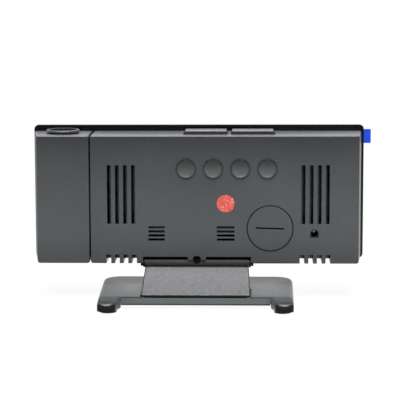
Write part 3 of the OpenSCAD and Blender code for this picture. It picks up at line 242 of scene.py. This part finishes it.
looks = {
    # the housing: painted shade darker towards the wall's top and foot, and painted light on the faces that look up
    "housing": moulded("mouldedAbsHousing", {"dark": "#3a3c3e", "light": "#3f4345", "drift": 45, "grain": 0.7,
                                             "speck": 0.12, "rough": 0.33, "bump": 0.25, "depth": 0.05,
                                             "shade": {"axis": "Z", "paintedTopLight": "#55565a", "stops": wallPaintedShade}}),
    "base": moulded("mouldedAbsBase", {"dark": "#505656", "light": "#575d5d", "drift": 40, "grain": 0.6,
                                       "speck": 0.1, "rough": 0.37, "bump": 0.2, "depth": 0.04,
                                       "shade": {"axis": "Y", "stops": basePaintedShade}}),
    "arm": moulded("satinAbsBarrel", {"dark": "#19191c", "light": "#1e1e21", "drift": 20, "grain": 0.6,
                                      "speck": 0.08, "rough": 0.55, "bump": 0.15, "depth": 0.03}),
    "neck_grey": moulded("sparkErodedAbsNeck", {"dark": "#606062", "light": "#707072", "drift": 1.9, "grain": 1.1,
                                                "speck": 0.38, "rough": 0.5, "bump": 0.8, "depth": 0.16,
                                                "shade": {"axis": "Z", "stops": neckPaintedShade}, "outline": neckShadowLine}),
    # the bars: painted light, a paler tone on the faces that look up
    "bar_grey": moulded("satinAbsBar", {"dark": "#2c2c2e", "light": "#323234", "drift": 12, "grain": 0.6,
                                        "speck": 0.06, "rough": 0.22, "bump": 0.15, "depth": 0.03,
                                        "shade": {"axis": "Z", "paintedTopLight": "#585859", "stops": evenTone}}),
    "button_grey": moulded("mouldedAbsButton", {"dark": "#424446", "light": "#484a4c", "drift": 8, "grain": 0.6,
                                                "speck": 0.1, "rough": 0.44, "bump": 0.25, "depth": 0.04,
                                                "shade": {"axis": "Z", "stops": dishPaintedShade}}),
    "ring_grey": moulded("satinAbsRing", {"dark": "#3c3d40", "light": "#444549", "drift": 8, "grain": 0.6,
                                          "speck": 0.06, "rough": 0.42, "bump": 0.15, "depth": 0.03}),
    "black_frame": moulded("glossAbsFrame", {"dark": "#050506", "light": "#08080a", "drift": 30, "grain": 0.8,
                                             "speck": 0.1, "rough": 0.24, "bump": 0.1, "depth": 0.02, "gloss": 0.35}),
    "black_plastic": moulded("blackAbs", {"dark": "#060607", "light": "#0b0b0c", "drift": 10, "grain": 0.6,
                                          "speck": 0.1, "rough": 0.5, "bump": 0.2, "depth": 0.03, "gloss": 0.2}),
    "white_plastic": moulded("whiteDiffuser", {"dark": "#d8d8d4", "light": "#e4e4e0", "drift": 10, "grain": 0.6,
                                               "speck": 0.04, "rough": 0.5, "bump": 0.1, "depth": 0.02}),
    "board_green": moulded("solderMask", {"dark": "#08180f", "light": "#0c2115", "drift": 6, "grain": 0.8,
                                          "speck": 0.2, "rough": 0.3, "bump": 0.2, "depth": 0.03}),
    "foot_rubber": moulded("siliconeFoot", {"dark": "#161617", "light": "#1e1e20", "drift": 6, "grain": 0.7,
                                            "speck": 0.15, "rough": 0.8, "bump": 0.4, "depth": 0.05}),
    "wire": moulded("wireInsulation", {"dark": "#141415", "light": "#1d1d1e", "drift": 6, "grain": 0.7,
                                       "speck": 0.1, "rough": 0.5, "bump": 0.2, "depth": 0.03}),
    "sticker": printed("vinylSticker", {"dark": "#a83730", "light": "#c24a40", "fleck": "#e4b898", "grain": 0.9,
                                        "rough": 0.4}),
    "blue_film": moulded("blueTabFilm", {"dark": "#0838bd", "light": "#0f47cf", "drift": 4, "grain": 1.2,
                                         "speck": 0.06, "rough": 0.3, "bump": 0.1, "depth": 0.02}),
    "steel": metal("zincPlatedSteel", {"dark": "#a9a9a6", "light": "#c4c4c1", "grain": 0.8, "rough": 0.32}),
    "spring_metal": metal("nickelSpring", {"dark": "#b5b0a4", "light": "#cfcabd", "grain": 0.8, "rough": 0.28}),
    "cell_metal": metal("stainlessCell", {"dark": "#b9b9ba", "light": "#d2d2d3", "grain": 1.2, "rough": 0.25}),
    "front_panel": clear("tintedAcrylic", {"dark": "#050506", "light": "#0a0a0c", "grain": 40, "rough": 0.04,
                                           "ior": 1.49, "through": 0.0}),
    "clear_film": clear("protectiveFilm", {"dark": "#f2f4f6", "light": "#ffffff", "grain": 15, "rough": 0.1,
                                           "ior": 1.5, "through": 0.92}),
    "optic": clear("lensAcrylic", {"dark": "#f6fafa", "light": "#ffffff", "grain": 5, "rough": 0.02,
                                   "ior": 1.49, "through": 1.0}),
}
# painted shadow: the black that gaps, holes and shaded walls take in place of their shade
shadowBlack = moulded("shadowGapAbs", {"dark": "#0a0a0b", "light": "#0e0e0f", "drift": 10, "grain": 0.6,
                                       "speck": 0.1, "rough": 0.75, "bump": 0.2, "depth": 0.03, "gloss": 0.15})
# painted shade: a copy of the housing's plastic with its reflection turned down, so the projector's end wall reads
# darker
shadedSideGrey = moulded("satinAbsSide", {"dark": "#3c3d3f", "light": "#414345", "drift": 45, "grain": 0.7,
                                    "speck": 0.12, "rough": 0.5, "bump": 0.25, "depth": 0.05, "gloss": 0.2})
print("materials made", len(looks))


# modelling helpers
def only(obj):
    if bpy.context.object and bpy.context.object.mode != "OBJECT":
        bpy.ops.object.mode_set(mode="OBJECT")
    bpy.ops.object.select_all(action="DESELECT")
    obj.select_set(True)
    bpy.context.view_layer.objects.active = obj


def editAll(obj):
    only(obj)
    bpy.ops.object.mode_set(mode="EDIT")
    bpy.ops.mesh.select_mode(type="FACE")
    bpy.ops.mesh.select_all(action="SELECT")


def pick(obj, test, kind="FACE"):
    # selects faces by test(centre, normal), or edges by test(middle, direction)
    bpy.ops.mesh.select_mode(type=kind)
    bpy.ops.mesh.select_all(action="DESELECT")
    shape = bmesh.from_edit_mesh(obj.data)
    if kind == "FACE":
        for face in shape.faces:
            face.select_set(bool(test(face.calc_center_median(), face.normal)))
    else:
        for edge in shape.edges:
            a, b = edge.verts[0].co, edge.verts[1].co
            edge.select_set(bool(test((a + b) / 2, (b - a).normalized())))
    shape.select_flush_mode()
    bmesh.update_edit_mesh(obj.data)


def finishPiece(obj, name, materials, body, stand, angle=None):
    only(obj)
    obj.name = name
    obj.data.name = name
    obj.data.materials.clear()
    for material in materials:
        obj.data.materials.append(material)
    if angle:
        bpy.ops.object.shade_smooth_by_angle(angle=math.radians(angle))
    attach(obj, body)
    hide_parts(stand)


def turned(profile, centre, steps=64):
    # a disc drawn out ring by ring along a profile of (radius, height) in mm, then laid with its axis along Y
    radius, height = profile[0]
    bpy.ops.mesh.primitive_circle_add(vertices=steps, radius=radius * mm, fill_type="NGON", location=(0, 0, 0))
    obj = bpy.context.object
    editAll(obj)
    bpy.ops.transform.translate(value=(0, 0, height * mm))
    for nextRadius, nextHeight in profile[1:]:
        bpy.ops.mesh.extrude_region_move()
        bpy.ops.transform.translate(value=(0, 0, (nextHeight - height) * mm))
        scale = nextRadius / radius
        bpy.ops.transform.resize(value=(scale, scale, 1), center_override=(0, 0, nextHeight * mm))
        radius, height = nextRadius, nextHeight
    bpy.ops.mesh.select_all(action="SELECT")
    bpy.ops.mesh.normals_make_consistent(inside=False)
    bpy.ops.object.mode_set(mode="OBJECT")
    obj.data.transform(Matrix.Translation(centre) @ Matrix.Rotation(-math.pi / 2, 4, "X"))
    return obj


# the reach in metres and the angle in degrees below which the solids' facets are merged
mergeReach = 0.000002
flatAngle = 0.6
rollSegments = 5
mouldAngle = 35
rimRoll = 1.2


def softened(nodeName, name, slot, body, width, rolled=None, dark=None, second=None):
    # the CAD solid's own shape, merged, with its sharp edges rounded off by width in mm as a mould leaves them.
    # rolled picks edges that are rounded further first; dark picks the faces that take the second material,
    # which is a painted shadow black unless another is given
    source = nodes[nodeName]
    obj = bpy.data.objects.new(name, source.data.copy())
    scene.collection.objects.link(obj)
    editAll(obj)
    bpy.ops.mesh.remove_doubles(threshold=mergeReach)
    bpy.ops.mesh.dissolve_limited(angle_limit=math.radians(flatAngle), delimit=set())
    if rolled:
        pick(obj, rolled, "EDGE")
        bpy.ops.mesh.bevel(offset=rimRoll * mm, segments=rollSegments, affect="EDGES", clamp_overlap=True)
    bpy.ops.object.mode_set(mode="OBJECT")
    bevel = obj.modifiers.new("edges", "BEVEL")
    bevel.width = width * mm
    bevel.segments = 2
    bevel.limit_method = "ANGLE"
    bevel.angle_limit = math.radians(mouldAngle)
    bevel.use_clamp_overlap = True
    bpy.ops.object.modifier_apply(modifier="edges")
    bpy.ops.object.shade_smooth_by_angle(angle=math.radians(mouldAngle))
    even = obj.modifiers.new("even", "WEIGHTED_NORMAL")
    even.mode = "FACE_AREA"
    even.keep_sharp = True
    bpy.ops.object.modifier_apply(modifier="even")
    materials = [looks[slot], second or shadowBlack] if dark else [looks[slot]]
    finishPiece(obj, name, materials, body, nodeName)
    if dark:
        for face in obj.data.polygons:
            if dark(face.center, face.normal):
                face.material_index = 1
    return obj


# every CAD node first takes its slot's material
for entry in frame["record"]["subparts"]:
    held = nodes[entry["node"]].data.materials
    held.clear()
    held.append(looks[entry["material_slot"]])
print("slots dressed")

# the shells: the solids' own shapes with moulded edges
plateLo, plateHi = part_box("front_frame")
endLo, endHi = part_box("projector_frame")
coverLo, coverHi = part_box("battery_cover")
ringLo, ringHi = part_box("focus_ring")
coreLo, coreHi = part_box("neck_core")
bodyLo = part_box("projector_housing")[0]
coverAxis = ((coverLo.x + coverHi.x) / 2, (coverLo.z + coverHi.z) / 2)
coverRadius = (coverHi.x - coverLo.x) / 2
ringAxis = ((ringLo.x + ringHi.x) / 2, (ringLo.y + ringHi.y) / 2)
rearFace = coverHi.y
# where the tests below draw their lines, in metres
plateRim = 0.004
onFace = 0.00005
behindFace = 0.0001
barrelNotch = {"above": bodyLo.z + 0.00215, "radius": 0.0024, "low": 0.0185}
bore = {"radius": 0.00735, "reach": 0.0009}
wellReach = 0.0008
coverSide = 0.00015
legFall = {"out": 0.033, "low": 0.0045, "steep": 0.32}
edgeFacing = {"side": 0.3, "foot": 0.6}
endFacing = 0.7
acrossY = 0.1
seamFit = {"reach": 0.1 * mm, "closer": 0.16 * mm}


def rearRim(middle, direction):
    # the plate's outline edge on its rear side
    outer = middle.z > plateHi.z - plateRim or middle.z < plateLo.z + plateRim or middle.x < plateLo.x + plateRim
    return middle.y > plateHi.y - onFace and outer and abs(direction.y) < acrossY


def rearRimEnd(middle, direction):
    # the same edge round the projector's own plate
    outer = middle.z > endHi.z - plateRim or middle.z < endLo.z + plateRim or middle.x > endHi.x - plateRim
    return middle.y > endHi.y - onFace and outer and abs(direction.y) < acrossY


def insideGap(centre, normal):
    # the battery well's wall and the hinge ears below the housing, painted shadow black
    aside = math.hypot(centre.x - coverAxis[0], centre.z - coverAxis[1])
    inWell = aside < coverRadius + wellReach and centre.y < rearFace - behindFace
    return inWell or centre.z < bodyLo.z - behindFace


# the projector's end wall, which takes the painted-shade copy of the housing's plastic
def endWall(centre, normal):
    return normal.x > endFacing


# the battery cover's sides down in its seat, painted shadow black
def coverSides(centre, normal):
    return centre.y < rearFace - coverSide


def barrelHole(centre, normal):
    # the round notch in the middle of the hinge barrel, painted shadow black inside
    middle = (coreLo.x + coreHi.x) / 2
    aside = math.hypot(centre.x - middle, centre.z - barrelNotch["above"])
    return aside < barrelNotch["radius"] and centre.z > barrelNotch["low"]


def coverEdges(centre, normal):
    # the sides and the foot of the neck's cover, painted shadow black as a dark outline
    return abs(normal.x) > edgeFacing["side"] or normal.y > edgeFacing["foot"]


# the focus ring's bore, painted shadow black
def ringBore(centre, normal):
    aside = math.hypot(centre.x - ringAxis[0], centre.y - ringAxis[1])
    return aside < bore["radius"] + bore["reach"] and centre.z < ringHi.z - behindFace


# the legs' end walls, painted shadow black
def legEnds(centre, normal):
    return normal.y > legFall["steep"] and centre.y > legFall["out"] and centre.z < legFall["low"]


softened("rear_housing", "rearHousing", "housing", "head", 0.08, dark=insideGap)
softened("projector_housing", "projectorHousing", "housing", "projector", 0.1, dark=endWall, second=shadedSideGrey)
softened("base_top", "baseTop", "base", "stand", 0.15, dark=legEnds)
softened("neck_core", "neckCore", "arm", "stand", 0.2, dark=barrelHole)
softened("neck_cover", "neckCover", "neck_grey", "stand", 0.5, dark=coverEdges)
softened("front_frame", "frontFrame", "black_frame", "head", 0.05, rolled=rearRim)
softened("mirror_panel", "mirrorPanel", "front_panel", "head", 0.15)
endFrame = softened("projector_frame", "projectorFrame", "black_frame", "projector", 0.05, rolled=rearRimEnd)
for vertex in endFrame.data.vertices:
    # the two frames almost touch, so no light shows between them
    if vertex.co.x < endLo.x + seamFit["reach"]:
        vertex.co.x -= seamFit["closer"]
softened("projector_panel", "projectorPanel", "front_panel", "projector", 0.15)
softened("battery_cover", "batteryCover", "housing", "cell_door", 0.08, dark=coverSides)
softened("snooze_bar", "snoozeBar", "bar_grey", "snooze_key", 0.3)
softened("focus_ring", "focusRing", "ring_grey", "ring", 0.12, dark=ringBore)
softened("power_socket", "powerSocket", "black_plastic", "head", 0.1)
softened("light_bar", "lightBar", "bar_grey", "light_key", 0.3)
print("shells made")

# rear buttons: a dished cap with a rolled rim, a flange behind the wall and a stem to the switch
# radii and heights in mm, the heights from the rear wall; a seam runs round the dish between two radii
buttonShape = {"cap": 5.12, "rim": 0.12, "rimSteps": 4, "seam": (4.84, 4.98), "seamDeep": 0.35, "lip": 0.02,
               "land": 0.04, "dish": 0.9, "dishCurve": 3, "dishSteps": 12, "out": 0.9, "flange": 6.0,
               "flangeTop": -2.10, "flangeT": 1.2, "flangeEdge": 0.1, "stem": 1.5, "stemFillet": 0.3}
seamPick = {"below": 0.05, "inside": 0.03, "outside": 0.01}
buttonAngle = 32


def buttonProfile(shape, stemEnd):
    cap, rim, out, stem = shape["cap"], shape["rim"], shape["out"], shape["stem"]
    wide, edge, fillet = shape["flange"], shape["flangeEdge"], shape["stemFillet"]
    over, under = shape["flangeTop"], shape["flangeTop"] - shape["flangeT"]
    points = [(stem, stemEnd), (stem, under - fillet), (stem + fillet, under), (wide - edge, under),
              (wide, under + edge), (wide, over - edge), (wide - edge, over), (cap, over), (cap, out - rim)]
    for i in range(1, shape["rimSteps"] + 1):
        a = math.pi / 2 * i / shape["rimSteps"]
        points.append((cap - rim * (1 - math.cos(a)), out - rim * (1 - math.sin(a))))
    inner, outer = shape["seam"]
    foot = out - shape["seamDeep"]
    points += [(outer, out), (outer, foot), (inner, foot), (inner, out - shape["lip"])]
    start = inner - shape["land"]
    for i in range(shape["dishSteps"]):
        r = start * (1 - i / shape["dishSteps"])
        points.append((r, out - shape["dish"] * (1 - (r / start) ** shape["dishCurve"])))
    return points


for key in ("set", "up", "down", "mode"):
    lo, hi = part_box(key + "_button")
    middle = Vector(((lo.x + hi.x) / 2, hi.y - buttonShape["out"] * mm, (lo.z + hi.z) / 2))
    cap = turned(buttonProfile(buttonShape, (lo.y - middle.y) / mm), middle)
    finishPiece(cap, key + "Button", [looks["button_grey"], shadowBlack], key + "_key", key + "_button",
                angle=buttonAngle)
    for face in cap.data.polygons:
        # the fine groove between the rim and the dish takes a painted shadow black
        aside = math.hypot(face.center.x - middle.x, face.center.z - middle.z) / mm
        below = face.center.y < middle.y + (buttonShape["out"] - seamPick["below"]) * mm
        inner, outer = buttonShape["seam"]
        if below and inner - seamPick["inside"] < aside < outer + seamPick["outside"]:
            face.material_index = 1
print("buttons made")

# camera at the viewing angle
# focal length and image centre in pixels of a square frame; distance and aim in mm, angles in degrees
frameSide = 400
sensor = 36
clip = {"near": 0.01, "far": 50}
view = {"focal": 1684.85, "px": 174.67, "py": 189.27, "distance": 912.61, "yaw": 2.271, "pitch": 7.7195,
        "roll": -0.26, "aim": (13.746, 20.0, 65.401)}
yaw, pitch, roll = [math.radians(view[k]) for k in ("yaw", "pitch", "roll")]
look = Vector((math.sin(yaw) * math.cos(pitch), -math.cos(yaw) * math.cos(pitch), -math.sin(pitch)))
side = look.cross(Vector((0, 0, 1))).normalized()
top = side.cross(look)
sideRolled = side * math.cos(roll) + top * math.sin(roll)
topRolled = top * math.cos(roll) - side * math.sin(roll)
eye = (Vector(view["aim"]) - look * view["distance"]) * mm
cameraData = bpy.data.cameras.new("camera")
cameraData.sensor_width = sensor
cameraData.lens = view["focal"] / frameSide * sensor
cameraData.shift_x = (frameSide / 2 - view["px"]) / frameSide
cameraData.shift_y = (view["py"] - frameSide / 2) / frameSide
cameraData.clip_start = clip["near"]
cameraData.clip_end = clip["far"]
camera = bpy.data.objects.new("camera", cameraData)
scene.collection.objects.link(camera)
turnTo = Matrix((sideRolled, topRolled, -look)).transposed().to_4x4()
camera.matrix_world = Matrix.Translation(eye) @ turnTo
scene.camera = camera

# floor, world and soft lights
# sizes and distances from the middle in metres, then the level near the clock
floorLook = {"size": 30, "drop": 0.0002, "seen": (0.08, 0.3, 0.94), "contactShade": (0.05, 0.18, 0.4),
             "dim": [(0.26, 1.0), (0.55, 0.04)], "paint": 0.85}
bpy.ops.mesh.primitive_plane_add(size=floorLook["size"], location=(0, 0, -floorLook["drop"]))
floor = bpy.context.object
floor.name = "floor"
floorMaterial, tree = newTree("paleSweep")
path = addNode(tree, "ShaderNodeLightPath")
spot = addNode(tree, "ShaderNodeTexCoord").outputs["Object"]
away = addNode(tree, "ShaderNodeVectorMath", {"operation": "LENGTH"}, {0: spot})
near, far, level = floorLook["seen"]
clean = addNode(tree, "ShaderNodeMapRange", {"From Min": near, "From Max": far, "To Min": level, "To Max": 1.0},
                {"Value": away.outputs["Value"]})
# painted light: a reflection sees the floor glow bright beside the clock and dim towards the camera's side of the
# room
depth = addNode(tree, "ShaderNodeSeparateXYZ", links={0: spot})
paintedFloorGlow = ramp(tree, depth.outputs["Y"], floorLook["dim"])
# painted shade: close to the clock a reflection sees less glow and more of the lit floor with its real shadow, so the
# reflected floor darkens there
near, far, level = floorLook["contactShade"]
contactShade = addNode(tree, "ShaderNodeMapRange", {"From Min": near, "From Max": far, "To Min": level, "To Max": 1.0},
                  {"Value": away.outputs["Value"]})
mirrored = addNode(tree, "ShaderNodeMath", {"operation": "MULTIPLY"},
                   {0: path.outputs["Is Glossy Ray"], 1: contactShade.outputs[0]})
straight = addNode(tree, "ShaderNodeMath", {"operation": "MULTIPLY"},
                   {0: path.outputs["Is Camera Ray"], 1: clean.outputs[0]})
share = addNode(tree, "ShaderNodeMath", {"operation": "MAXIMUM"}, {0: straight.outputs[0], 1: mirrored.outputs[0]})
bright = addNode(tree, "ShaderNodeMath", {"operation": "MAXIMUM"},
                 {0: path.outputs["Is Camera Ray"], 1: paintedFloorGlow.outputs["Color"]})
paint = addNode(tree, "ShaderNodeBsdfDiffuse", {"Color": (*[floorLook["paint"]] * 3, 1)})
glow = addNode(tree, "ShaderNodeEmission", {"Color": (1, 1, 1, 1)}, {"Strength": bright.outputs[0]})
both = addNode(tree, "ShaderNodeMixShader", links={0: share.outputs[0], 1: paint.outputs[0], 2: glow.outputs[0]})
addNode(tree, "ShaderNodeOutputMaterial", links={"Surface": both.outputs[0]})
floor.data.materials.append(floorMaterial)

roomLook = {"fill": 0.22, "dim": [(0.4, 1.0), (0.58, 0.05)]}
world = bpy.data.worlds.new("studio")
scene.world = world
world.use_nodes = True
tree = world.node_tree
tree.nodes.clear()
path = addNode(tree, "ShaderNodeLightPath")
seen = addNode(tree, "ShaderNodeMath", {"operation": "MAXIMUM"},
               {0: path.outputs["Is Camera Ray"], 1: path.outputs["Is Glossy Ray"]})
seen = addNode(tree, "ShaderNodeMath", {"operation": "MAXIMUM"},
               {0: seen.outputs[0], 1: path.outputs["Is Transmission Ray"]})
strength = addNode(tree, "ShaderNodeMix", {"data_type": "FLOAT", 2: roomLook["fill"]}, {0: seen.outputs[0]})
# a reflection sees the white sweep behind the clock, and a dim room on the camera's side
heading = addNode(tree, "ShaderNodeSeparateXYZ", links={0: addNode(tree, "ShaderNodeTexCoord").outputs["Generated"]})
room = ramp(tree, addNode(tree, "ShaderNodeMapRange", {"From Min": -1.0, "From Max": 1.0},
                          {"Value": heading.outputs["Y"]}).outputs[0], roomLook["dim"])
straight = addNode(tree, "ShaderNodeMath", {"operation": "MAXIMUM"},
                   {0: path.outputs["Is Camera Ray"], 1: path.outputs["Is Transmission Ray"]})
mirrored = addNode(tree, "ShaderNodeMath", {"operation": "MAXIMUM"},
                   {0: room.outputs["Color"], 1: straight.outputs[0]})
tree.links.new(mirrored.outputs[0], strength.inputs[3])
sky = addNode(tree, "ShaderNodeBackground", {"Color": (1, 1, 1, 1)}, {"Strength": strength.outputs[0]})
addNode(tree, "ShaderNodeOutputWorld", links={"Surface": sky.outputs[0]})


def softLight(name, at, aim, size, watts):
    data = bpy.data.lights.new(name, "AREA")
    data.shape = "RECTANGLE"
    data.size, data.size_y = size
    data.energy = watts
    lamp = bpy.data.objects.new(name, data)
    scene.collection.objects.link(lamp)
    at, aim = Vector(at), Vector(aim)
    lamp.matrix_world = Matrix.Translation(at) @ (aim - at).to_track_quat("-Z", "Y").to_matrix().to_4x4()


softLight("topSoftbox", (0.0, 0.3, 1.1), (0, 0, 0.05), (1.2, 0.9), 34)
softLight("rearFill", (-0.4, 1.3, 0.75), (0, 0, 0.06), (0.9, 0.7), 3.5)
print("stage set")

scene.view_settings.view_transform = "Standard"
